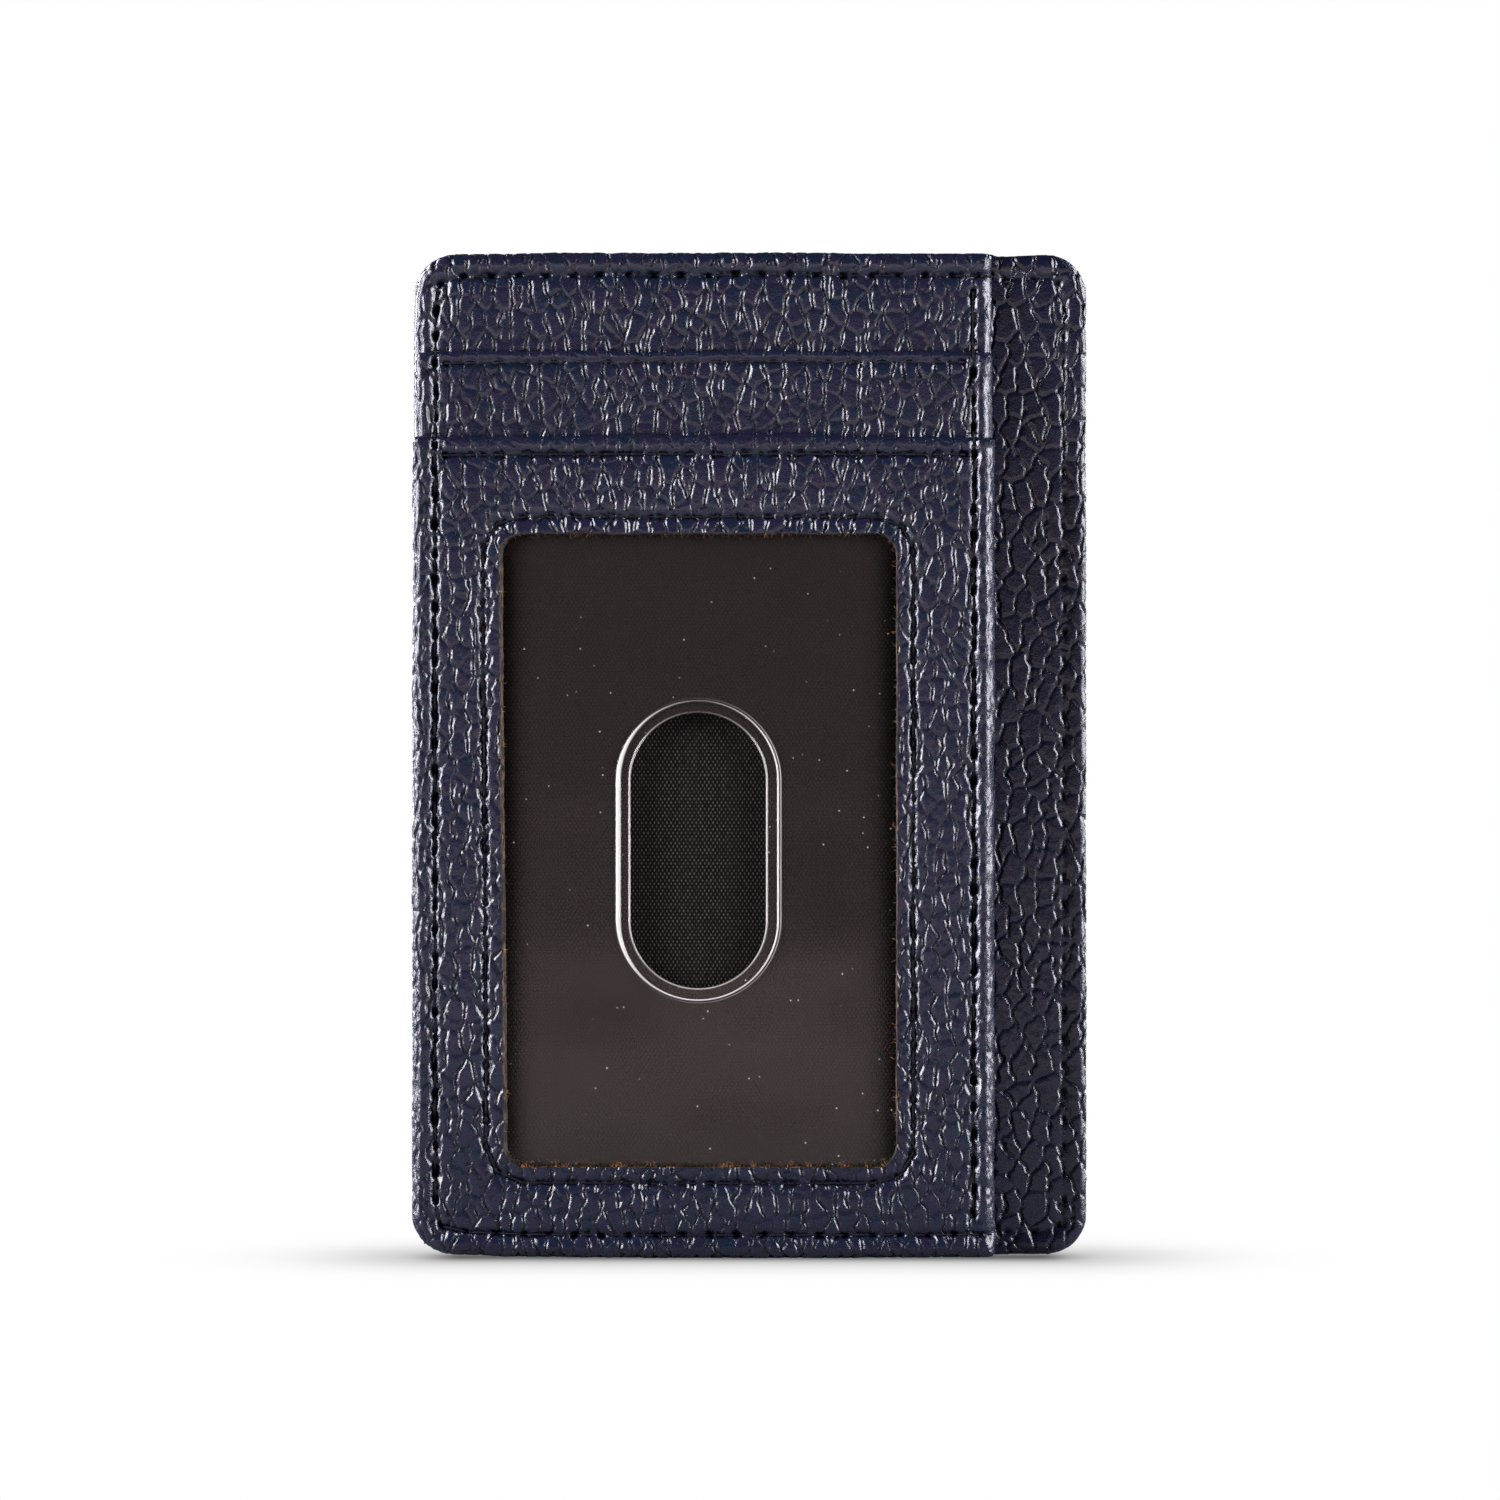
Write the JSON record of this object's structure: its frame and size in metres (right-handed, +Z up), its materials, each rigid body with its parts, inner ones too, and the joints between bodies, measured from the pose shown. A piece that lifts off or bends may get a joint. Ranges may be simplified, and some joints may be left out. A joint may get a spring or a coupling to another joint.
{
  "type": "card holder",
  "caption": "Slim upright leather card holder with a clear ID window and thumb slot, a card slot behind it, and a centre pocket that opens at the side.",
  "frame": {"origin": "bottom centre of the standing holder: middle of its width and thickness, at its bottom edge", "axes": "+X to the right seen from the window side, towards the open side of the centre pocket; +Y from the window face to the plain back; +Z up, towards the pocket mouths"},
  "size_m": [0.077, 0.0066, 0.1145],
  "materials": {
    "navy_leather": "pebbled, semi-gloss",
    "lining_twill": "fine dark twill, matte",
    "clear_film": "clear flexible film, glossy",
    "leather_board": "bonded board, matte",
    "navy_thread": "twisted polyester, satin"
  },
  "bodies": {
    "root": {"id_window_panel": "navy_leather", "id_window_film": "clear_film", "id_pocket_turned_edges": "navy_leather", "slot_panel_lining": "lining_twill", "slot_panel": "navy_leather", "slot_pocket_turned_edges": "navy_leather", "backing_panel_lining": "lining_twill", "backing_panel": "navy_leather", "centre_pocket_front_lining": "lining_twill", "centre_pocket_turned_edges": "navy_leather", "centre_pocket_rear_lining": "lining_twill", "base_facing_panel": "navy_leather", "base_stiffener": "leather_board", "rear_panel_turned_edges": "navy_leather", "rear_panel": "navy_leather", "perimeter_seam_upper_thread": "navy_thread", "perimeter_seam_bobbin_thread": "navy_thread", "lip_seam_upper_thread": "navy_thread", "lip_seam_bobbin_thread": "navy_thread", "window_seam_upper_thread": "navy_thread", "window_seam_bobbin_thread": "navy_thread", "id_mouth_hem_upper_thread": "navy_thread", "id_mouth_hem_bobbin_thread": "navy_thread", "slot_mouth_hem_upper_thread": "navy_thread", "slot_mouth_hem_bobbin_thread": "navy_thread"}
  },
  "joints": []
}
